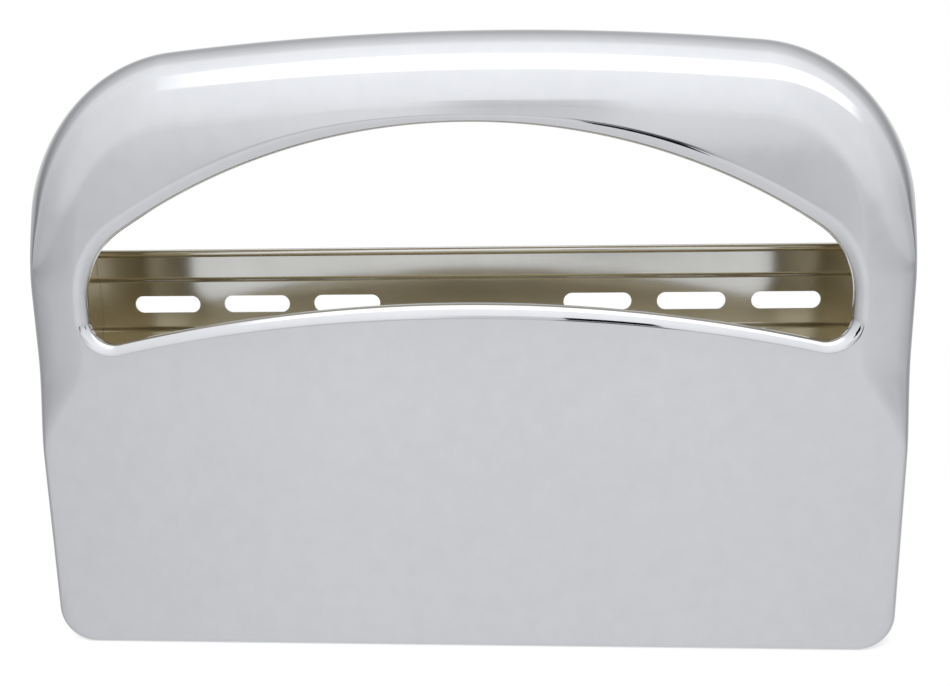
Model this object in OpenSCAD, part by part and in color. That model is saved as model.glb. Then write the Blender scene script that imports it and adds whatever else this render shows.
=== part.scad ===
// Wall dispenser for folded paper seat covers, pressed from plated sheet.
// The hood is one pressing with a lens-shaped opening whose lip rolls inwards.
// A slotted strip across the open back takes the wall screws.
// Origin: middle of the body's footprint. Front faces -Y, wall side faces +Y, +Z is up.

/* [Body] */
// Width over the sides
body_w = 406.4; // [380:0.1:440]
// Height in the middle
body_h = 292.1; // [282:0.1:320]
// Depth from the wall to the front panel
body_d = 76.2; // [64:0.1:100]
// Thickness of the pressed sheet
sheet_t = 1.2; // [0.8:0.1:1.6]
// Rise of the top edge between the corners
crown_rise = 6; // [2:0.5:9]
// Radius of the top corners
top_corner_r = 74; // [64:1:84]
// Radius of the bottom corners
bottom_corner_r = 18; // [12:0.5:28]

/* [Front edge] */
// Radius of the front edge along the bottom and the lower sides
edge_r = 3; // [2:0.5:6]
// Width of the sloping face beside the opening, seen from the front
side_face_w = 25; // [18:1:32]
// How far that face falls back to the side wall
side_face_d = 7; // [4:0.5:12]
// Width of the rounding over the opening, seen from the front
hood_round_w = 38; // [34:1:46]
// How far that rounding falls back to the top wall
hood_round_d = 35; // [26:1:44]
// Height where the side edge starts to widen into the shoulder
shoulder_low_z = 97; // [80:1:110]
// Height where the shoulder has its full width
shoulder_top_z = 145; // [130:1:160]
// Height where the shoulder starts to deepen into the hood
hood_low_z = 175; // [170:1:190]
// Height where the hood's rounding has its full depth
hood_top_z = 280; // [255:1:285]

/* [Opening] */
// Distance of the opening from each side, seen from the front
side_margin = 28; // [27:0.5:36]
// Height of the opening's upper edge in the middle
opening_top_z = 249.5; // [244:0.1:254]
// Height of the opening's lower edge in the middle
opening_arch_z = 169; // [165:0.1:172]
// Height of the centres of the opening's rounded ends
opening_end_z = 171; // [168:0.5:176]
// Radius of those ends
opening_end_r = 38; // [32:0.5:44]
// Height of the centres of the opening's lower corners
opening_corner_z = 161.7; // [160:0.1:165]
// Radius of those corners
opening_corner_r = 11; // [9:0.5:14]
// Width of the rolled lip at the ends, seen from the front
lip_end_w = 5.6; // [4.6:0.1:7]
// Width of the rolled lip in the middle of the lower edge
lip_low_w = 7; // [5:0.1:8]
// Width of the rolled lip in the middle of the upper edge
lip_top_w = 3.2; // [2.6:0.1:5]
// How far the lip rolls before it bends sharply back, in degrees
lip_turn = 52; // [44:1:60]
// Inside radius of that bend
lip_bend_r = 0.6; // [0.4:0.1:1]
// Straight return behind the bend
lip_return = 1.5; // [1:0.5:3]

/* [Mounting strip] */
// Thickness of the strip's sheet
strip_t = 1; // [0.8:0.1:1.5]
// Height of the screw slots' centre line
slot_row_z = 158.8; // [145:0.1:175]
// Height of the flat field that carries the slots
field_h = 27; // [20:0.5:32]
// Height of each flat margin beside the field, up to its curl
margin_h = 14.4; // [9:0.1:18]
// Step from the field forward to the margins
joggle_d = 2; // [1.2:0.1:3]
// Outer radius of the curled edges
curl_r = 2.1; // [1.8:0.1:3]

/* [Screw slots] */
// Number of slots on each side of the middle
slots_per_side = 3; // [1:1:3]
// Distance of the outermost slot's centre from the side
slot_inset = 37.8; // [30:0.1:50]
// Spacing of the slots
slot_pitch = 49.2; // [42:0.1:52]
// Length of a slot from end to end
slot_l = 35.8; // [20:0.1:38]
// Width of a slot
slot_w = 9; // [5:0.1:12]

/* [Hidden] */

chrome = [0.80, 0.81, 0.82];
warm_nickel = [0.62, 0.59, 0.52];

// Intervals between stations along each stretch of the right half, from top middle to bottom middle
crown_n = 12;
corner_n = 14;
side_n = 4;
shoulder_n = 9;
low_side_n = 2;
foot_n = 7;
bottom_n = 8;
// Intervals across the rounded front edge, the face and the lip
edge_n = 6;
face_n = 2;
roll_n = 4;
bend_n = 2;
// Shares of the upper arc and of the arch that face the crown and the bottom
crown_share = 0.72;
foot_share = 0.78;
// Most of the way from the rim to the lip that the rounded edge's rows may take
edge_share = 0.85;
// Powers of the rounded edge's curve: an ellipse, and a flatter one beside the opening
ellipse_power = 2;
side_power = 1.5;

half_w = body_w / 2;
front_y = -body_d / 2;
rear_y = body_d / 2;

// Outline: a flat crown arc, a corner arc, a straight side, a foot arc, a straight bottom
top_c = [half_w - top_corner_r, 0];
crown_r = (top_c.x * top_c.x + crown_rise * crown_rise) / (2 * crown_rise);
crown_c = [0, body_h - crown_r];
corner_c = [top_c.x, crown_c.y + sqrt(pow(crown_r - top_corner_r, 2) - pow(top_c.x, 2))];
crown_end = atan2(corner_c.x, corner_c.y - crown_c.y);
foot_c = [half_w - bottom_corner_r, bottom_corner_r];

// Opening: an upper arc, a tighter end arc, a short straight, a corner arc, a lower arch
// The upper arc and the arch run from the middle into the end arc and the corner arc without a kink
half_open = half_w - side_margin;
end_c = [half_open - opening_end_r, opening_end_z];
top_drop = opening_top_z - end_c.y;
top_arc_r = (end_c.x * end_c.x + top_drop * top_drop - opening_end_r * opening_end_r)
    / (2 * (top_drop - opening_end_r));
top_arc_c = [0, opening_top_z - top_arc_r];
top_arc_end = atan2(end_c.x, end_c.y - top_arc_c.y);
top_arc_split = crown_share * top_arc_end;
low_c = [half_open - opening_corner_r, opening_corner_z];
low_drop = opening_arch_z - low_c.y;
arch_r = (low_c.x * low_c.x + low_drop * low_drop - opening_corner_r * opening_corner_r)
    / (2 * (opening_corner_r + low_drop));
arch_c = [0, opening_arch_z - arch_r];
arch_end = atan2(low_c.x, low_c.y - arch_c.y);
arch_split = foot_share * arch_end;

// Outer radius of the bend behind the lip, and the part of the lip's width that it takes
bend_r = sheet_t + lip_bend_r;
bend_w = bend_r * (1 - sin(lip_turn));

// The strip's ends lie against the sides of the hood
strip_half = half_w - sheet_t;

function blend(a, b, t) = let (s = min(1, max(0, t))) a + (b - a) * s * s * (3 - 2 * s);

// Stations along an arc, without the last one: position in the front view and outward normal.
// Angles run clockwise from straight up, and side is -1 where the metal lies inside the arc.
function arc(c, r, from, to, n, side = 1) =
    [for (i = [0:n - 1]) let (a = from + (to - from) * i / n, d = [sin(a), cos(a)]) [c + r * d, side * d]];

function straight(from, to, n, normal) = [for (i = [0:n - 1]) [from + (to - from) * i / n, normal]];

outline_half = concat(
    arc(crown_c, crown_r, 0, crown_end, crown_n),
    arc(corner_c, top_corner_r, crown_end, 90, corner_n),
    straight([half_w, corner_c.y], [half_w, shoulder_top_z], side_n, [1, 0]),
    straight([half_w, shoulder_top_z], [half_w, shoulder_low_z], shoulder_n, [1, 0]),
    straight([half_w, shoulder_low_z], [half_w, foot_c.y], low_side_n, [1, 0]),
    arc(foot_c, bottom_corner_r, 90, 180, foot_n),
    straight([foot_c.x, 0], [0, 0], bottom_n, [0, -1]),
    [[[0, 0], [0, -1]]]
);

opening_half = concat(
    arc(top_arc_c, top_arc_r, 0, top_arc_split, crown_n),
    arc(top_arc_c, top_arc_r, top_arc_split, top_arc_end, corner_n / 2),
    arc(end_c, opening_end_r, top_arc_end, 90, corner_n / 2),
    straight([half_open, end_c.y], [half_open, low_c.y], side_n / 2, [1, 0]),
    arc(low_c, opening_corner_r, 90, 180 + arch_end, side_n / 2 + shoulder_n + low_side_n),
    arc(arch_c, arch_r, arch_end, arch_split, foot_n, -1),
    arc(arch_c, arch_r, arch_split, 0, bottom_n, -1),
    [[[0, opening_arch_z], [0, -1]]]
);

// A closed ring of stations from its right half
function mirrored(s) = [[-s[0].x, s[0].y], [-s[1].x, s[1].y]];
function ring(half) = concat(half, [for (i = [len(half) - 2:-1:1]) mirrored(half[i])]);

outline = ring(outline_half);
opening = ring(opening_half);

// A size that changes from the lower edge over the shoulder to the hood
function by_height(low, side, hood, z) =
    z < hood_low_z
        ? blend(low, side, (z - shoulder_low_z) / (shoulder_top_z - shoulder_low_z))
        : blend(side, hood, (z - hood_low_z) / (hood_top_z - hood_low_z));

// Width and depth of the rounded front edge at a height, and the power of its curve
function edge_width(z) = by_height(edge_r, side_face_w, hood_round_w, z);
function edge_depth(z) = by_height(edge_r, side_face_d, hood_round_d, z);
function edge_power(z) = by_height(ellipse_power, side_power, ellipse_power, z);

// Width of the rolled lip at a point of the opening's edge
function lip_width(p) =
    p.y > end_c.y
        ? blend(lip_top_w, lip_end_w, 2 * abs(p.x) / half_open)
        : blend(lip_low_w, lip_end_w, abs(p.x) / half_open);

// The lip's rows from its outer line to the end of its return: distance outside the opening, depth
function lip_rows(w) =
    let (r = (w - bend_w) / sin(lip_turn), bend_from = r * (1 - cos(lip_turn)))
    concat(
        [for (k = [0:roll_n]) let (a = lip_turn * k / roll_n) [w - r * sin(a), r * (1 - cos(a))]],
        [for (k = [1:bend_n]) let (a = lip_turn + (90 - lip_turn) * k / bend_n)
            [bend_r * (1 - sin(a)), bend_from + bend_r * (cos(lip_turn) - cos(a))]],
        [[0, bend_from + bend_r * cos(lip_turn) + lip_return]]
    );

// Distance of a point in the front view from the outline
function rim_distance(p) =
    let (q = [abs(p.x), p.y], v = q - crown_c, in_corner = v.x * (corner_c.y - crown_c.y) > v.y * corner_c.x)
    q.y > corner_c.y && in_corner ? top_corner_r - norm(q - corner_c)
        : q.x > foot_c.x && q.y < foot_c.y ? bottom_corner_r - norm(q - foot_c)
        : min(half_w - q.x, q.y, crown_r - norm(v));

// How far the rounded edge has fallen back from the front plane
function edge_fall(p) =
    let (w = edge_width(p.y), n = edge_power(p.y), t = max(0, 1 - max(0, rim_distance(p)) / w))
    edge_depth(p.y) * (1 - pow(1 - pow(t, n), 1 / n));

function on_face(p, extra = 0) = [p.x, front_y + edge_fall(p) + extra, p.y];

// One section of the outer skin, from the rear rim over the front edge to the end of the lip's return
function section(rim, mouth) =
    let (
        lip = lip_width(mouth[0]),
        across = mouth[0] + lip * mouth[1] - rim[0],
        run = -across * rim[1],
        r = edge_width(rim[0].y),
        reach = min(r, edge_share * run),
        turn = acos(1 - reach / r)
    )
    concat(
        [[rim[0].x, rear_y, rim[0].y]],
        [for (k = [0:edge_n]) on_face(rim[0] + across * r * (1 - cos(turn * k / edge_n)) / run)],
        [for (k = [1:face_n - 1]) on_face(rim[0] + across * (reach / run + (1 - reach / run) * k / face_n))],
        [for (row = lip_rows(lip)) on_face(mouth[0] + row[0] * mouth[1], row[1])]
    );

skin = [for (i = [0:len(outline) - 1]) section(outline[i], opening[i])];

function unit(v) = v / norm(v);

// The same skin moved to the inner side of the sheet
function inner_point(i, k) =
    let (
        n = len(skin),
        m = len(skin[0]),
        along = skin[(i + 1) % n][k] - skin[(i + n - 1) % n][k],
        over = skin[i][min(k + 1, m - 1)] - skin[i][max(k - 1, 0)]
    )
    skin[i][k] + sheet_t * unit(cross(along, over));

// Rings of points that close on themselves both ways: outer skin, then inner skin back to the rim
module closed_sheet() {
    n = len(skin);
    m = len(skin[0]);
    loops = [for (i = [0:n - 1]) concat(skin[i], [for (k = [m - 1:-1:0]) inner_point(i, k)])];
    w = 2 * m;
    polyhedron(
        points = [for (loop = loops) each loop],
        faces = [for (i = [0:n - 1], k = [0:w - 1])
            let (here = i * w, next = ((i + 1) % n) * w, up = (k + 1) % w)
            each [[here + k, next + k, next + up], [here + k, next + up, here + up]]],
        convexity = 8
    );
}

module front_shell() {
    color(chrome) closed_sheet();
}

// Outline of a bent sheet: its middle line widened to both sides
function side_normal(line, i) =
    let (a = line[max(i - 1, 0)], b = line[min(i + 1, len(line) - 1)], d = unit(b - a)) [-d.y, d.x];
function widened(line, t) = concat(
    [for (i = [0:len(line) - 1]) line[i] + t / 2 * side_normal(line, i)],
    [for (i = [len(line) - 1:-1:0]) line[i] - t / 2 * side_normal(line, i)]
);

// Middle line of the strip's upper margin, in depth and height above the slot row
curl_mid_r = curl_r - strip_t / 2;
field_y = rear_y - strip_t / 2;
margin_y = field_y - joggle_d;
margin_z = field_h / 2;
field_edge_z = margin_z - joggle_d;
joggle_h = 1.5 * joggle_d;
joggle_line = [for (i = [0:6]) let (t = i / 6)
    [blend(field_y, margin_y, t), margin_z + joggle_h * (t - 0.5)]];
curl_line = [for (a = [0:20:260])
    [margin_y - curl_mid_r * (1 - cos(a)), margin_z + margin_h + curl_mid_r * sin(a)]];
margin_line = concat([[field_y, field_edge_z]], joggle_line, curl_line);
lower_line = [for (i = [len(margin_line) - 1:-1:0]) [margin_line[i].x, -margin_line[i].y]];
strip_line = concat(lower_line, margin_line);

module strip_bar() {
    translate([0, 0, slot_row_z]) rotate([90, 0, 90])
        linear_extrude(height = 2 * strip_half, center = true)
            polygon(widened(strip_line, strip_t));
}

module slot() {
    translate([0, rear_y + 1, slot_row_z]) rotate([90, 0, 0]) {
        for (s = [-1, 1]) translate([s * (slot_l - slot_w) / 2, 0, 0])
            cylinder(h = strip_t + 2, d = slot_w, $fn = 48);
        translate([-(slot_l - slot_w) / 2, -slot_w / 2, 0]) cube([slot_l - slot_w, slot_w, strip_t + 2]);
    }
}

module mounting_strip() {
    color(warm_nickel) difference() {
        strip_bar();
        for (i = [0:slots_per_side - 1], s = [-1, 1])
            translate([s * (half_w - slot_inset - i * slot_pitch), 0, 0]) slot();
    }
}

front_shell();
mounting_strip();
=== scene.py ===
"""Looks of a wall dispenser for folded paper seat covers: a pressed, chromed hood and a slotted strip.

Everything is in metres, in the frame of the CAD model: the front faces -Y, +Z is up.
"""
import math

import bpy
import numpy as np
from mathutils import Matrix, Vector


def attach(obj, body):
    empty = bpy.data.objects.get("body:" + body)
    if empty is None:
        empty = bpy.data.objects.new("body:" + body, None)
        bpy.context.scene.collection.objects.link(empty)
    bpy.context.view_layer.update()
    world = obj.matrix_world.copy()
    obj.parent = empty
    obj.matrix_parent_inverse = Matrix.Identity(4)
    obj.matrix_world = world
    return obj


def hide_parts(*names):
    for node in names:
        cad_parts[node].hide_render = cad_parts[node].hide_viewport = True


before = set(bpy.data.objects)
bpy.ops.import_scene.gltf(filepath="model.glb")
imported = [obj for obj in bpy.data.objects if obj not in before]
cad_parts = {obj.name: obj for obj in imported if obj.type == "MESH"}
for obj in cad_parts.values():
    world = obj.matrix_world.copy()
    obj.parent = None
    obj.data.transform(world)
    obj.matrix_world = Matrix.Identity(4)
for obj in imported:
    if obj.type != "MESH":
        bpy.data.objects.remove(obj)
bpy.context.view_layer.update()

MM = 0.001

# Hood, the same values as the CAD source, in millimetres
BODY_W, BODY_H, BODY_D = 406.4, 292.1, 76.2
SHEET_T = 1.2
CROWN_RISE, TOP_CORNER_R, BOTTOM_CORNER_R = 6, 74, 18
EDGE_R = 3
SIDE_FACE_W, SIDE_FACE_D = 25, 7
HOOD_ROUND_W, HOOD_ROUND_D = 38, 35
SHOULDER_LOW_Z, SHOULDER_TOP_Z = 97, 145
HOOD_LOW_Z, HOOD_TOP_Z = 175, 280
ELLIPSE_POWER, SIDE_POWER = 2, 1.5
SIDE_MARGIN, OPENING_TOP_Z, OPENING_ARCH_Z = 28, 249.5, 169
OPENING_END_Z, OPENING_END_R = 171, 38
OPENING_CORNER_Z, OPENING_CORNER_R = 161.7, 11
LIP_END_W, LIP_LOW_W, LIP_TOP_W = 5.6, 7, 3.2
LIP_TURN, LIP_BEND_R, LIP_RETURN = 52, 0.6, 1.5

# Strip
STRIP_T, SLOT_ROW_Z = 1, 158.8
FIELD_H, MARGIN_H, JOGGLE_D, CURL_R = 27, 14.4, 2, 2.1
SLOTS_PER_SIDE, SLOT_INSET, SLOT_PITCH = 3, 37.8, 49.2
SLOT_L, SLOT_W = 35.8, 9
# A joggle's height over its depth, and the turn of a curl in degrees
JOGGLE_RUN, JOGGLE_POINTS = 1.5, 11
CURL_TURN, CURL_STEP = 260, 10
SLOT_SIDES, PUNCH_DEPTH, PUNCHED_EDGE = 48, 6, 0.15

# Edges that turn by more degrees than these stay crisp in the shading, or are rounded off
HOOD_CRISP_FROM, STRIP_CRISP_FROM, STRIP_ROUNDED_FROM = 40, 35, 50
MERGE_WITHIN = 0.001

HALF_W = BODY_W / 2
FRONT_Y, REAR_Y = -BODY_D / 2, BODY_D / 2

# Stations round the hood: so many for each of the CAD source's
FINER = 4
CROWN_N, CORNER_N, SIDE_N, SHOULDER_N = 12 * FINER, 14 * FINER, 4 * FINER, 9 * FINER
LOW_SIDE_N, FOOT_N, BOTTOM_N = 2 * FINER, 7 * FINER, 8 * FINER
EDGE_ROWS, FACE_ROWS, ROLL_ROWS, BEND_ROWS = 26, 16, 12, 6
CROWN_SHARE, FOOT_SHARE, EDGE_SHARE = 0.72, 0.78, 0.85


def blend(a, b, t):
    s = np.clip(t, 0, 1)
    return a + (b - a) * s * s * (3 - 2 * s)


def arc(centre, radius, start, stop, count, side=1):
    """Points of an arc in the front view, clockwise from straight up, with their normals."""
    turn = np.radians(start + (stop - start) * np.arange(count) / count)
    out = np.stack([np.sin(turn), np.cos(turn)], 1)
    return np.asarray(centre) + radius * out, side * out


def straight(start, stop, count, normal):
    share = (np.arange(count) / count)[:, None]
    points = np.asarray(start) * (1 - share) + np.asarray(stop) * share
    return points, np.tile(np.asarray(normal, float), (count, 1))


def ring(parts, last, last_normal):
    """The right half's stretches, closed by their mirror image, and back at the first point."""
    points = np.concatenate([p for p, _ in parts] + [[last]])
    normals = np.concatenate([n for _, n in parts] + [[last_normal]])
    flip = np.array([-1.0, 1.0])
    points = np.concatenate([points, points[-2::-1] * flip])
    normals = np.concatenate([normals, normals[-2::-1] * flip])
    return points, normals


top_x = HALF_W - TOP_CORNER_R
crown_r = (top_x**2 + CROWN_RISE**2) / (2 * CROWN_RISE)
crown_z = BODY_H - crown_r
corner_c = (top_x, crown_z + math.sqrt((crown_r - TOP_CORNER_R) ** 2 - top_x**2))
crown_end = math.degrees(math.atan2(corner_c[0], corner_c[1] - crown_z))
foot_c = (HALF_W - BOTTOM_CORNER_R, BOTTOM_CORNER_R)

half_open = HALF_W - SIDE_MARGIN
end_c = (half_open - OPENING_END_R, OPENING_END_Z)
top_drop = OPENING_TOP_Z - OPENING_END_Z
top_arc_r = (end_c[0] ** 2 + top_drop**2 - OPENING_END_R**2) / (2 * (top_drop - OPENING_END_R))
top_arc_z = OPENING_TOP_Z - top_arc_r
top_arc_end = math.degrees(math.atan2(end_c[0], end_c[1] - top_arc_z))
top_arc_split = CROWN_SHARE * top_arc_end
low_c = (half_open - OPENING_CORNER_R, OPENING_CORNER_Z)
low_drop = OPENING_ARCH_Z - OPENING_CORNER_Z
arch_r = (low_c[0] ** 2 + low_drop**2 - OPENING_CORNER_R**2) / (2 * (OPENING_CORNER_R + low_drop))
arch_z = OPENING_ARCH_Z - arch_r
arch_end = math.degrees(math.atan2(low_c[0], low_c[1] - arch_z))
arch_split = FOOT_SHARE * arch_end

lip_turn = math.radians(LIP_TURN)
bend_r = SHEET_T + LIP_BEND_R
bend_w = bend_r * (1 - math.sin(lip_turn))


def by_height(low, side, hood, z):
    lower = blend(low, side, (z - SHOULDER_LOW_Z) / (SHOULDER_TOP_Z - SHOULDER_LOW_Z))
    upper = blend(side, hood, (z - HOOD_LOW_Z) / (HOOD_TOP_Z - HOOD_LOW_Z))
    return np.where(z < HOOD_LOW_Z, lower, upper)


def edge_width(z):
    return by_height(EDGE_R, SIDE_FACE_W, HOOD_ROUND_W, z)


def edge_depth(z):
    return by_height(EDGE_R, SIDE_FACE_D, HOOD_ROUND_D, z)


def edge_power(z):
    return by_height(ELLIPSE_POWER, SIDE_POWER, ELLIPSE_POWER, z)


def lip_width(p):
    """Width of the rolled lip at points of the opening's edge, seen from the front."""
    share = np.abs(p[:, 0]) / half_open
    return np.where(
        p[:, 1] > end_c[1], blend(LIP_TOP_W, LIP_END_W, 2 * share), blend(LIP_LOW_W, LIP_END_W, share)
    )


def lip_rows(width):
    """The lip from its outer line to the end of its return: distance outside the opening, depth."""
    roll_r = (width - bend_w) / math.sin(lip_turn)
    bend_from = roll_r * (1 - math.cos(lip_turn))
    for a in np.linspace(0, lip_turn, ROLL_ROWS + 1):
        yield width - roll_r * math.sin(a), roll_r * (1 - math.cos(a))
    for a in np.linspace(lip_turn, math.pi / 2, BEND_ROWS + 1)[1:]:
        yield bend_r * (1 - math.sin(a)) + 0 * width, bend_from + bend_r * (math.cos(lip_turn) - math.cos(a))
    yield 0 * width, bend_from + bend_r * math.cos(lip_turn) + LIP_RETURN


def rim_distance(x, z):
    """Distance of a point in the front view from the hood's outline."""
    x = np.abs(x)
    in_corner = x * (corner_c[1] - crown_z) > (z - crown_z) * corner_c[0]
    plain = np.minimum(np.minimum(HALF_W - x, z), crown_r - np.hypot(x, z - crown_z))
    corner = TOP_CORNER_R - np.hypot(x - corner_c[0], z - corner_c[1])
    foot = BOTTOM_CORNER_R - np.hypot(x - foot_c[0], z - foot_c[1])
    low = np.where((x > foot_c[0]) & (z < foot_c[1]), foot, plain)
    return np.where((z > corner_c[1]) & in_corner, corner, low)


def on_face(p, extra=0.0):
    """The point of the hood's face over a point of the front view, moved back by extra."""
    x, z = p[..., 0], p[..., 1]
    power = edge_power(z)
    t = np.clip(1 - np.maximum(rim_distance(x, z), 0) / edge_width(z), 0, 1)
    fall = edge_depth(z) * (1 - (1 - t**power) ** (1 / power))
    return np.stack([x, FRONT_Y + fall + extra, z], -1)


def hood_skin():
    """Points of the hood's outer skin: one line of rows, from rear rim to the lip's end, per station."""
    rim, rim_n = ring(
        [
            arc((0, crown_z), crown_r, 0, crown_end, CROWN_N),
            arc(corner_c, TOP_CORNER_R, crown_end, 90, CORNER_N),
            straight((HALF_W, corner_c[1]), (HALF_W, SHOULDER_TOP_Z), SIDE_N, (1, 0)),
            straight((HALF_W, SHOULDER_TOP_Z), (HALF_W, SHOULDER_LOW_Z), SHOULDER_N, (1, 0)),
            straight((HALF_W, SHOULDER_LOW_Z), (HALF_W, foot_c[1]), LOW_SIDE_N, (1, 0)),
            arc(foot_c, BOTTOM_CORNER_R, 90, 180, FOOT_N),
            straight((foot_c[0], 0), (0, 0), BOTTOM_N, (0, -1)),
        ],
        (0, 0),
        (0, -1),
    )
    mouth, mouth_n = ring(
        [
            arc((0, top_arc_z), top_arc_r, 0, top_arc_split, CROWN_N),
            arc((0, top_arc_z), top_arc_r, top_arc_split, top_arc_end, CORNER_N // 2),
            arc(end_c, OPENING_END_R, top_arc_end, 90, CORNER_N // 2),
            straight((half_open, end_c[1]), (half_open, low_c[1]), SIDE_N // 2, (1, 0)),
            arc(low_c, OPENING_CORNER_R, 90, 180 + arch_end, SIDE_N // 2 + SHOULDER_N + LOW_SIDE_N),
            arc((0, arch_z), arch_r, arch_end, arch_split, FOOT_N, -1),
            arc((0, arch_z), arch_r, arch_split, 0, BOTTOM_N, -1),
        ],
        (0, OPENING_ARCH_Z),
        (0, -1),
    )
    lip = lip_width(mouth)
    across = mouth + lip[:, None] * mouth_n - rim
    run = -(across * rim_n).sum(1)[:, None]
    width = edge_width(rim[:, 1])[:, None]
    reach = np.minimum(width, EDGE_SHARE * run)
    turn = np.arccos(1 - reach / width)
    rows = [np.stack([rim[:, 0], np.full(len(rim), REAR_Y), rim[:, 1]], -1)]
    for k in range(EDGE_ROWS + 1):
        rows.append(on_face(rim + across * width * (1 - np.cos(turn * k / EDGE_ROWS)) / run))
    for k in range(1, FACE_ROWS):
        rows.append(on_face(rim + across * (reach / run + (1 - reach / run) * k / FACE_ROWS)))
    for outside, depth in lip_rows(lip):
        rows.append(on_face(mouth + outside[:, None] * mouth_n, depth))
    return np.stack(rows, 1)


def only(piece):
    """Leaves one piece selected and active, out of edit mode."""
    if bpy.context.object and bpy.context.object.mode != "OBJECT":
        bpy.ops.object.mode_set(mode="OBJECT")
    bpy.ops.object.select_all(action="DESELECT")
    piece.select_set(True)
    bpy.context.view_layer.objects.active = piece


def apply_modifier(piece, kind, **settings):
    only(piece)
    made = piece.modifiers.new(kind.title(), kind)
    for key, value in settings.items():
        setattr(made, key, value)
    bpy.ops.object.modifier_apply(modifier=made.name)


def laid_grid(name, points):
    """A grid primitive whose points are laid on a net of points given in millimetres."""
    n, m = points.shape[:2]
    bpy.ops.object.select_all(action="DESELECT")
    bpy.ops.mesh.primitive_grid_add(x_subdivisions=n - 1, y_subdivisions=m - 1, size=1)
    piece = bpy.context.object
    piece.name = piece.data.name = name
    where = np.zeros(len(piece.data.vertices) * 3)
    piece.data.vertices.foreach_get("co", where)
    where = where.reshape(-1, 3)
    i = np.rint((where[:, 0] + 0.5) * (n - 1)).astype(int)
    k = np.rint((where[:, 1] + 0.5) * (m - 1)).astype(int)
    piece.data.vertices.foreach_set("co", (points[i, k] * MM).ravel())
    piece.data.update()
    return piece


def faces_out(piece, inner_point):
    """Merges doubles and turns the faces away from a point inside."""
    only(piece)
    bpy.ops.object.mode_set(mode="EDIT")
    bpy.ops.mesh.select_all(action="SELECT")
    bpy.ops.mesh.remove_doubles(threshold=MERGE_WITHIN * MM)
    bpy.ops.mesh.normals_make_consistent(inside=False)
    bpy.ops.object.mode_set(mode="OBJECT")
    inner = Vector(inner_point)
    lean = sum(f.normal.dot(f.center - inner) * f.area for f in piece.data.polygons)
    if lean < 0:
        bpy.ops.object.mode_set(mode="EDIT")
        bpy.ops.mesh.select_all(action="SELECT")
        bpy.ops.mesh.flip_normals()
        bpy.ops.object.mode_set(mode="OBJECT")


# Materials


def linear(code):
    """An sRGB hex colour as linear RGBA."""
    parts = [int(code[i : i + 2], 16) / 255 for i in (1, 3, 5)]
    return [p / 12.92 if p <= 0.04045 else ((p + 0.055) / 1.055) ** 2.4 for p in parts] + [1.0]


def grey(value):
    return (value, value, value, 1.0)


def add(tree, kind, settings=None, inputs=None, stops=()):
    """Adds a node with its settings, inputs and colour stops. An input is a value, a (node, output)
    pair, or a node whose first output is meant."""
    made = tree.nodes.new(kind)
    for key, value in (settings or {}).items():
        setattr(made, key, value)
    for key, value in (inputs or {}).items():
        if isinstance(value, bpy.types.Node):
            value = (value, 0)
        if isinstance(value, tuple) and isinstance(value[0], bpy.types.Node):
            tree.links.new(value[0].outputs[value[1]], made.inputs[key])
        else:
            made.inputs[key].default_value = value
    if stops:
        while len(made.color_ramp.elements) < len(stops):
            made.color_ramp.elements.new(0.5)
        for element, (place, colour) in zip(made.color_ramp.elements, stops):
            element.position = place
            element.color = colour
    return made


def new_material(name):
    made = bpy.data.materials.new(name)
    made.use_nodes = True
    made.node_tree.nodes.clear()
    return made, made.node_tree


# Widths in millimetres of the waves and patches in the metals, and of a rolling line along x, y, z
SWELL_W, HAZE_W, UNDERCOAT_CLOUD_W, STRIP_CLOUD_W = 45, 8.3, 16.7, 22
ROLLING_LINE = (25, 1.667, 0.4)
# Most of a noise pattern lies between these two
NOISE_LOW, NOISE_HIGH = 0.3, 0.7


def per_metre(width):
    """A pattern's scale, to a whole number, from the width of its waves in millimetres."""
    return float(round(1 / (width * MM)))


def chrome_plate():
    """Decorative chrome over polished sheet: a bright neutral mirror, a breath of blue, faintly uneven."""
    made, tree = new_material("chrome plate, polished")
    place = add(tree, "ShaderNodeTexCoord")
    # Pressing leaves the sheet uneven by a few microns
    swell = add(
        tree,
        "ShaderNodeTexNoise",
        inputs={"Vector": (place, "Object"), "Scale": per_metre(SWELL_W), "Detail": 1.0},
    )
    # Polishing haze in soft patches
    haze = add(
        tree,
        "ShaderNodeTexNoise",
        inputs={"Vector": (place, "Object"), "Scale": per_metre(HAZE_W), "Detail": 3.0},
    )
    tint = add(
        tree,
        "ShaderNodeValToRGB",
        inputs={"Fac": haze},
        stops=[(NOISE_LOW, linear("#CBCCCF")), (NOISE_HIGH, linear("#CECFD2"))],
    )
    rough = add(
        tree,
        "ShaderNodeMapRange",
        inputs={
            "Value": haze,
            "From Min": NOISE_LOW,
            "From Max": NOISE_HIGH,
            "To Min": 0.05,
            "To Max": 0.07,
        },
    )
    bump = add(
        tree,
        "ShaderNodeBump",
        inputs={"Height": swell, "Strength": 0.02, "Distance": 0.0004},
    )
    shader = add(
        tree,
        "ShaderNodeBsdfPrincipled",
        inputs={
            "Base Color": tint,
            "Metallic": 1.0,
            "Roughness": rough,
            "Normal": bump,
        },
    )
    add(tree, "ShaderNodeOutputMaterial", inputs={"Surface": shader})
    return made


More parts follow.
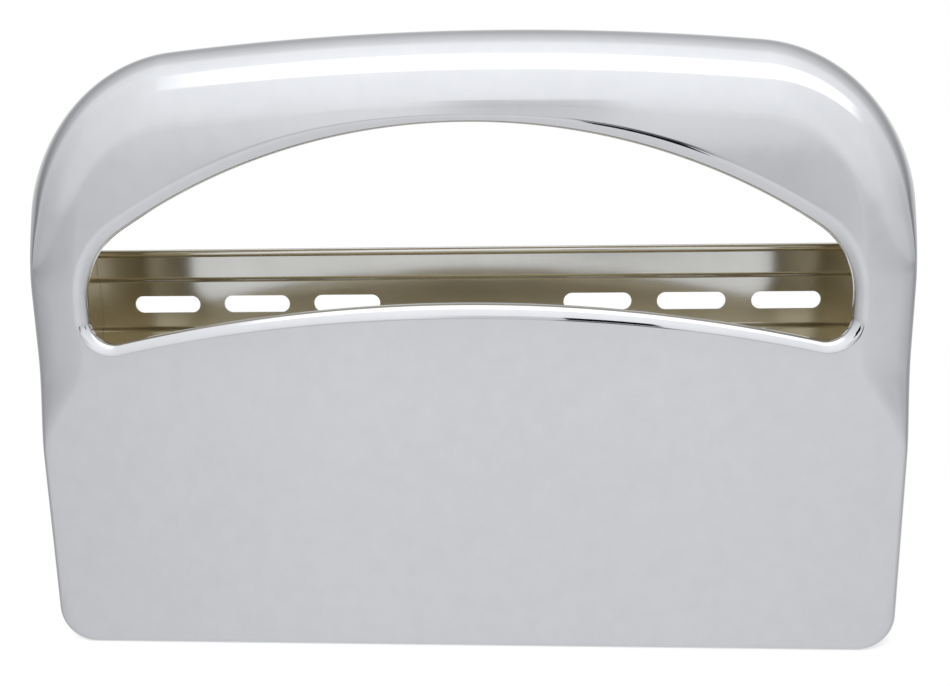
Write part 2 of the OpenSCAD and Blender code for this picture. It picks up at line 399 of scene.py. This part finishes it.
def bare_nickel():
    """Inside of the hood: the chrome hardly throws into the hollow, so warmer nickel shows, still bright."""
    made, tree = new_material("nickel undercoat")
    place = add(tree, "ShaderNodeTexCoord")
    cloud = add(
        tree,
        "ShaderNodeTexNoise",
        inputs={"Vector": (place, "Object"), "Scale": per_metre(UNDERCOAT_CLOUD_W), "Detail": 4.0},
    )
    tint = add(
        tree,
        "ShaderNodeValToRGB",
        inputs={"Fac": cloud},
        stops=[(NOISE_LOW, linear("#C8BDA0")), (NOISE_HIGH, linear("#D0C5A8"))],
    )
    shader = add(
        tree,
        "ShaderNodeBsdfPrincipled",
        inputs={"Base Color": tint, "Metallic": 1.0, "Roughness": 0.28},
    )
    add(tree, "ShaderNodeOutputMaterial", inputs={"Surface": shader})
    return made


def satin_nickel():
    """Strip: thin rolled steel with a satin nickel plate, so soft reflections drawn out along the strip."""
    made, tree = new_material("satin nickel plate on rolled strip")
    place = add(tree, "ShaderNodeTexCoord")
    # Long, fine rolling lines, side by side up the strip
    along = add(
        tree,
        "ShaderNodeMapping",
        inputs={"Vector": (place, "Object"), "Scale": [per_metre(width) for width in ROLLING_LINE]},
    )
    lines = add(tree, "ShaderNodeTexNoise", inputs={"Vector": along, "Scale": 1.0, "Detail": 3.0})
    cloud = add(
        tree,
        "ShaderNodeTexNoise",
        inputs={"Vector": (place, "Object"), "Scale": per_metre(STRIP_CLOUD_W), "Detail": 3.0},
    )
    tint = add(
        tree,
        "ShaderNodeValToRGB",
        inputs={"Fac": cloud},
        stops=[(NOISE_LOW, linear("#CBCAC6")), (NOISE_HIGH, linear("#D1D0CD"))],
    )
    rough = add(
        tree,
        "ShaderNodeMapRange",
        inputs={
            "Value": lines,
            "From Min": NOISE_LOW,
            "From Max": NOISE_HIGH,
            "To Min": 0.14,
            "To Max": 0.18,
        },
    )
    bump = add(
        tree,
        "ShaderNodeBump",
        inputs={"Height": lines, "Strength": 0.04, "Distance": 0.00005},
    )
    shader = add(
        tree,
        "ShaderNodeBsdfPrincipled",
        inputs={
            "Base Color": tint,
            "Metallic": 1.0,
            "Roughness": rough,
            "Normal": bump,
        },
    )
    add(tree, "ShaderNodeOutputMaterial", inputs={"Surface": shader})
    return made


# Hood


def make_hood():
    piece = laid_grid("chromed_hood", hood_skin())
    faces_out(piece, (0, 0, BODY_H / 2 * MM))
    piece.data.materials.append(chrome_plate())
    piece.data.materials.append(bare_nickel())
    apply_modifier(
        piece, "SOLIDIFY", thickness=SHEET_T * MM, offset=-1, use_even_offset=True, material_offset=1
    )
    only(piece)
    bpy.ops.object.shade_smooth_by_angle(angle=math.radians(HOOD_CRISP_FROM))
    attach(piece, "root")
    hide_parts("front_shell")


# Strip


def strip_profile():
    """Middle line of the strip's sheet in depth and height, from the lower curl to the upper one."""
    curl_mid = CURL_R - STRIP_T / 2
    field_y = REAR_Y - STRIP_T / 2
    margin_y = field_y - JOGGLE_D
    half_field = FIELD_H / 2
    share = np.linspace(0, 1, JOGGLE_POINTS)
    joggle = np.stack(
        [blend(field_y, margin_y, share), half_field + JOGGLE_RUN * JOGGLE_D * (share - 0.5)], 1
    )
    turn = np.radians(np.arange(0, CURL_TURN + 1, CURL_STEP))
    curl = np.stack(
        [margin_y - curl_mid * (1 - np.cos(turn)), half_field + MARGIN_H + curl_mid * np.sin(turn)], 1
    )
    upper = np.concatenate([joggle, curl])
    line = np.concatenate([upper[::-1] * (1, -1), upper])
    line[:, 1] += SLOT_ROW_Z
    return line


def slot_cutter(x):
    bpy.ops.object.select_all(action="DESELECT")
    bpy.ops.mesh.primitive_cylinder_add(
        vertices=SLOT_SIDES, radius=SLOT_W / 2 * MM, depth=PUNCH_DEPTH * MM, rotation=(math.pi / 2, 0, 0)
    )
    cutter = bpy.context.object
    bpy.ops.object.transform_apply(location=False, rotation=True, scale=False)
    shift = (SLOT_L - SLOT_W) / 2 * MM
    for v in cutter.data.vertices:
        v.co.x += shift if v.co.x > 0 else -shift
        v.co += Vector((x * MM, (REAR_Y - STRIP_T / 2) * MM, SLOT_ROW_Z * MM))
    return cutter


def make_strip():
    """A sheet bent along the strip's profile from side to side, with the slots punched out."""
    half = HALF_W - SHEET_T
    line = strip_profile()
    net = np.stack([np.concatenate([np.full((len(line), 1), x), line], 1) for x in (-half, half)])
    piece = laid_grid("wall_strip", net)
    apply_modifier(piece, "SOLIDIFY", thickness=STRIP_T * MM, offset=0, use_even_offset=True)
    faces_out(piece, (0, REAR_Y * MM, SLOT_ROW_Z * MM))
    for i in range(SLOTS_PER_SIDE):
        for side in (-1, 1):
            cutter = slot_cutter(side * (HALF_W - SLOT_INSET - i * SLOT_PITCH))
            apply_modifier(piece, "BOOLEAN", operation="DIFFERENCE", solver="EXACT", object=cutter)
            bpy.data.objects.remove(cutter)
    apply_modifier(
        piece,
        "BEVEL",
        width=PUNCHED_EDGE * MM,
        segments=2,
        limit_method="ANGLE",
        angle_limit=math.radians(STRIP_ROUNDED_FROM),
    )
    only(piece)
    bpy.ops.object.shade_smooth_by_angle(angle=math.radians(STRIP_CRISP_FROM))
    # Large flat faces set the shading, so that flat sheet reflects as flat
    apply_modifier(piece, "WEIGHTED_NORMAL", mode="FACE_AREA", weight=100, keep_sharp=True)
    piece.data.materials.clear()
    piece.data.materials.append(satin_nickel())
    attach(piece, "root")
    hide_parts("mounting_strip")


# Stage


# Camera: place in millimetres, directions, roll in degrees, and focal length in image widths
CAMERA_PLACE = (28.1, -450.6, 231.8)
CAMERA_AHEAD = (-0.0533, 0.9801, -0.1915)
CAMERA_LEVEL = (0.9985, 0.0543, 0.0)
CAMERA_ROLL = -0.89
FOCAL_SHARE = 923 / 950
SENSOR_W = 36


def make_camera():
    """The photograph's view: close, a little right of the middle and above, looking slightly down."""
    place = Vector(CAMERA_PLACE) * MM
    ahead = Vector(CAMERA_AHEAD).normalized()
    level = Vector(CAMERA_LEVEL).normalized()
    above = level.cross(ahead).normalized()
    roll = math.radians(CAMERA_ROLL)
    right = math.cos(roll) * level + math.sin(roll) * above
    up = -math.sin(roll) * level + math.cos(roll) * above
    data = bpy.data.cameras.new("view")
    data.sensor_width = SENSOR_W
    data.sensor_fit = "HORIZONTAL"
    data.lens = SENSOR_W * FOCAL_SHARE
    data.clip_start, data.clip_end = 0.01, 50
    made = bpy.data.objects.new("view", data)
    turned = Matrix((right, up, -ahead)).transposed().to_4x4()
    made.matrix_world = Matrix.Translation(place) @ turned
    bpy.context.scene.collection.objects.link(made)
    bpy.context.scene.camera = made


# Brightness of the room that the plated metal sees, by the angle over the object: 0 is level in
# front, 90 is overhead, 180 is level behind
ROOM_OVER = [
    (-180, 1.0),
    (-150, 1.0),
    (-90, 0.9),
    (-35, 0.93),
    (-14, 1.0),
    (-8, 0.97),
    (-4, 0.9),
    (0, 0.95),
    (3, 1.12),
    (8, 1.22),
    (25, 1.32),
    (57, 1.42),
    (86, 1.48),
    (104, 1.38),
    (112, 1.1),
    (124, 0.88),
    (140, 0.6),
    (152, 0.6),
    (165, 1.0),
    (180, 1.0),
]
ROOM_OVER_MOST = 2.0
# How that fades from straight ahead, 0, to the left, -1, and to the brighter right, 1
ROOM_ACROSS = [
    (-1.0, 0.5),
    (-0.95, 0.6),
    (-0.8, 0.76),
    (-0.55, 0.85),
    (-0.38, 0.94),
    (-0.2, 1.0),
    (0.2, 1.0),
    (0.38, 0.96),
    (0.55, 0.9),
    (0.8, 0.84),
    (0.95, 0.68),
    (1.0, 0.5),
]
# Things in the room, each as (low, high, softness). Over is a share of the turn from -180 to 180
# degrees, and up and across are parts of a direction of length 1. A depth is the share of the
# room's light that a thing hides, and things in front come in between 0 and FRONT_FADE
SOFTBOX_OVER, SOFTBOX_ACROSS, SOFTBOX_LIGHT = (0.658, 0.736, 0.012), (-0.46, 0.85, 0.12), 0.7
RAIL_UP, RAIL_FADES, RAIL_DEPTH = (-0.085, 0.02, 0.02), (0.25, 0.38), 0.16
STAND_UP, STAND_ACROSS, STAND_DEPTH = (-0.085, 0.01, 0.015), (0.03, 0.19, 0.03), 0.9
PANEL_UP, PANEL_ACROSS, PANEL_DEPTH = (0.0, 0.3, 0.08), (-0.13, 0.14, 0.09), 0.26
FRONT_FADE = 0.3
SOFT_LIGHT = 0.35

TIMES, PLUS, MINUS = {"operation": "MULTIPLY"}, {"operation": "ADD"}, {"operation": "SUBTRACT"}
SOFT_STEP = {"interpolation_type": "SMOOTHSTEP"}


def window(tree, source, low, high, soft):
    """1 between low and high, with soft ends inside them."""
    rise = add(
        tree,
        "ShaderNodeMapRange",
        SOFT_STEP,
        {"Value": source, "From Min": low, "From Max": low + soft, "To Min": 0.0, "To Max": 1.0},
    )
    fall = add(
        tree,
        "ShaderNodeMapRange",
        SOFT_STEP,
        {"Value": source, "From Min": high - soft, "From Max": high, "To Min": 1.0, "To Max": 0.0},
    )
    return add(tree, "ShaderNodeMath", TIMES, {0: rise, 1: fall})


def patch(tree, first, first_side, second, second_side):
    """A patch of the room: 1 where both directions lie within their sides."""
    one = window(tree, first, *first_side)
    other = window(tree, second, *second_side)
    return add(tree, "ShaderNodeMath", TIMES, {0: one, 1: other})


def make_world():
    """White behind the object; the plated metal sees a white room with a softbox overhead."""
    world = bpy.data.worlds.new("studio")
    bpy.context.scene.world = world
    world.use_nodes = True
    tree = world.node_tree
    tree.nodes.clear()
    ray = add(tree, "ShaderNodeLightPath")
    place = add(tree, "ShaderNodeTexCoord")
    axes = add(tree, "ShaderNodeSeparateXYZ", inputs={"Vector": (place, "Generated")})

    ahead = add(tree, "ShaderNodeMath", TIMES, {0: (axes, "Y"), 1: -1.0})
    aside = add(tree, "ShaderNodeMath", {"operation": "ABSOLUTE"}, {0: (axes, "X")})
    over = add(tree, "ShaderNodeMath", {"operation": "ARCTAN2"}, {0: (axes, "Z"), 1: ahead})
    over_turns = add(tree, "ShaderNodeMath", TIMES, {0: over, 1: 0.5 / math.pi})
    over_share = add(tree, "ShaderNodeMath", PLUS, {0: over_turns, 1: 0.5})
    over_light = add(
        tree,
        "ShaderNodeValToRGB",
        inputs={"Fac": over_share},
        stops=[((angle + 180) / 360, grey(value / ROOM_OVER_MOST)) for angle, value in ROOM_OVER],
    )
    half_across = add(tree, "ShaderNodeMath", TIMES, {0: (axes, "X"), 1: 0.5})
    across_share = add(tree, "ShaderNodeMath", PLUS, {0: half_across, 1: 0.5})
    across_light = add(
        tree,
        "ShaderNodeValToRGB",
        inputs={"Fac": across_share},
        stops=[((x + 1) / 2, grey(value)) for x, value in ROOM_ACROSS],
    )
    room = add(tree, "ShaderNodeMath", TIMES, {0: over_light, 1: across_light})
    room = add(tree, "ShaderNodeMath", TIMES, {0: room, 1: ROOM_OVER_MOST})
    # The softbox, from 57 to 85 degrees over the object, crisp at its near and far edge
    softbox = patch(tree, over_share, SOFTBOX_OVER, (axes, "X"), SOFTBOX_ACROSS)
    softbox_light = add(tree, "ShaderNodeMath", TIMES, {0: softbox, 1: SOFTBOX_LIGHT})
    room = add(tree, "ShaderNodeMath", PLUS, {0: room, 1: softbox_light})
    # A grey rail at the far edge of the table with a dark stand on it, and a grey wall panel over it
    in_front = add(
        tree,
        "ShaderNodeMapRange",
        SOFT_STEP,
        {"Value": ahead, "From Min": 0.0, "From Max": FRONT_FADE, "To Min": 0.0, "To Max": 1.0},
    )
    rail_fade = add(
        tree,
        "ShaderNodeMapRange",
        SOFT_STEP,
        {
            "Value": aside,
            "From Min": RAIL_FADES[0],
            "From Max": RAIL_FADES[1],
            "To Min": RAIL_DEPTH,
            "To Max": 0.0,
        },
    )
    rail_band = window(tree, (axes, "Z"), *RAIL_UP)
    rail = add(tree, "ShaderNodeMath", TIMES, {0: rail_band, 1: rail_fade})
    stand = patch(tree, (axes, "Z"), STAND_UP, (axes, "X"), STAND_ACROSS)
    panel = patch(tree, (axes, "Z"), PANEL_UP, (axes, "X"), PANEL_ACROSS)
    for dark, depth in ((rail, 1.0), (stand, STAND_DEPTH), (panel, PANEL_DEPTH)):
        dark_in_front = add(tree, "ShaderNodeMath", TIMES, {0: dark, 1: in_front})
        hidden = add(tree, "ShaderNodeMath", TIMES, {0: dark_in_front, 1: depth})
        shown_share = add(tree, "ShaderNodeMath", MINUS, {0: 1.0, 1: hidden})
        room = add(tree, "ShaderNodeMath", TIMES, {0: room, 1: shown_share})
    glossy = add(tree, "ShaderNodeBackground", inputs={"Color": linear("#FDFEFF"), "Strength": room})
    soft = add(tree, "ShaderNodeBackground", inputs={"Color": linear("#FFFFFF"), "Strength": SOFT_LIGHT})
    white = add(tree, "ShaderNodeBackground", inputs={"Color": linear("#FFFFFF"), "Strength": 1.0})
    seen = add(tree, "ShaderNodeMixShader", inputs={0: (ray, "Is Glossy Ray"), 1: soft, 2: glossy})
    shown = add(tree, "ShaderNodeMixShader", inputs={0: (ray, "Is Camera Ray"), 1: seen, 2: white})
    add(tree, "ShaderNodeOutputWorld", inputs={"Surface": shown})


# Floor: size in metres, glow and its share in what the camera sees
FLOOR_SIZE, FLOOR_GLOW, FLOOR_GLOW_SHARE = 8, 1.1, 0.55


def make_floor():
    """White card: pale enough to vanish into the background, but it keeps the object's shadow."""
    bpy.ops.object.select_all(action="DESELECT")
    bpy.ops.mesh.primitive_plane_add(size=FLOOR_SIZE)
    floor = bpy.context.object
    floor.name = "floor"
    made, tree = new_material("white card")
    ray = add(tree, "ShaderNodeLightPath")
    matt = add(tree, "ShaderNodeBsdfDiffuse", inputs={"Color": linear("#F4F4F4")})
    glow = add(tree, "ShaderNodeEmission", inputs={"Color": linear("#FFFFFF"), "Strength": FLOOR_GLOW})
    mixed = add(tree, "ShaderNodeMixShader", inputs={0: FLOOR_GLOW_SHARE, 1: matt, 2: glow})
    shown = add(tree, "ShaderNodeMixShader", inputs={0: (ray, "Is Camera Ray"), 1: matt, 2: mixed})
    add(tree, "ShaderNodeOutputMaterial", inputs={"Surface": shown})
    floor.data.materials.append(made)
    floor.visible_glossy = False


# Light: where it shines, how wide it is in degrees, and its strength
LIGHT_AHEAD, LIGHT_WIDTH, LIGHT_STRENGTH = (0.12, 1.1, -1.3), 28, 2.6


def make_lamp():
    """A wide, soft light from the front and a little left, so that its shadow falls behind."""
    data = bpy.data.lights.new("front_light", "SUN")
    data.angle = math.radians(LIGHT_WIDTH)
    data.energy = LIGHT_STRENGTH
    lamp = bpy.data.objects.new("front_light", data)
    lamp.rotation_euler = Vector(LIGHT_AHEAD).to_track_quat("-Z", "Y").to_euler()
    lamp.visible_glossy = False
    bpy.context.scene.collection.objects.link(lamp)


# Black card: width and height, and the place of its middle, in metres
CARD_SIZE, CARD_CENTRE = (0.068, 0.056), (0.094, -0.25, 0.196)


def make_dark_card():
    """A black card close in front: thin dark lines on the rolled lip, and a dark patch in other views."""
    bpy.ops.object.select_all(action="DESELECT")
    bpy.ops.mesh.primitive_plane_add(size=1)
    card = bpy.context.object
    card.name = "dark_card"
    for v in card.data.vertices:
        v.co = Vector((v.co.x * CARD_SIZE[0], 0, v.co.y * CARD_SIZE[1])) + Vector(CARD_CENTRE)
    made, tree = new_material("black card")
    glow = add(tree, "ShaderNodeEmission", inputs={"Color": linear("#15131A"), "Strength": 1.0})
    add(tree, "ShaderNodeOutputMaterial", inputs={"Surface": glow})
    card.data.materials.append(made)
    card.visible_camera = False
    card.visible_diffuse = False
    card.visible_shadow = False


scene = bpy.context.scene
scene.view_settings.view_transform = "Standard"
make_camera()
make_hood()
make_strip()
make_world()
make_floor()
make_lamp()
make_dark_card()
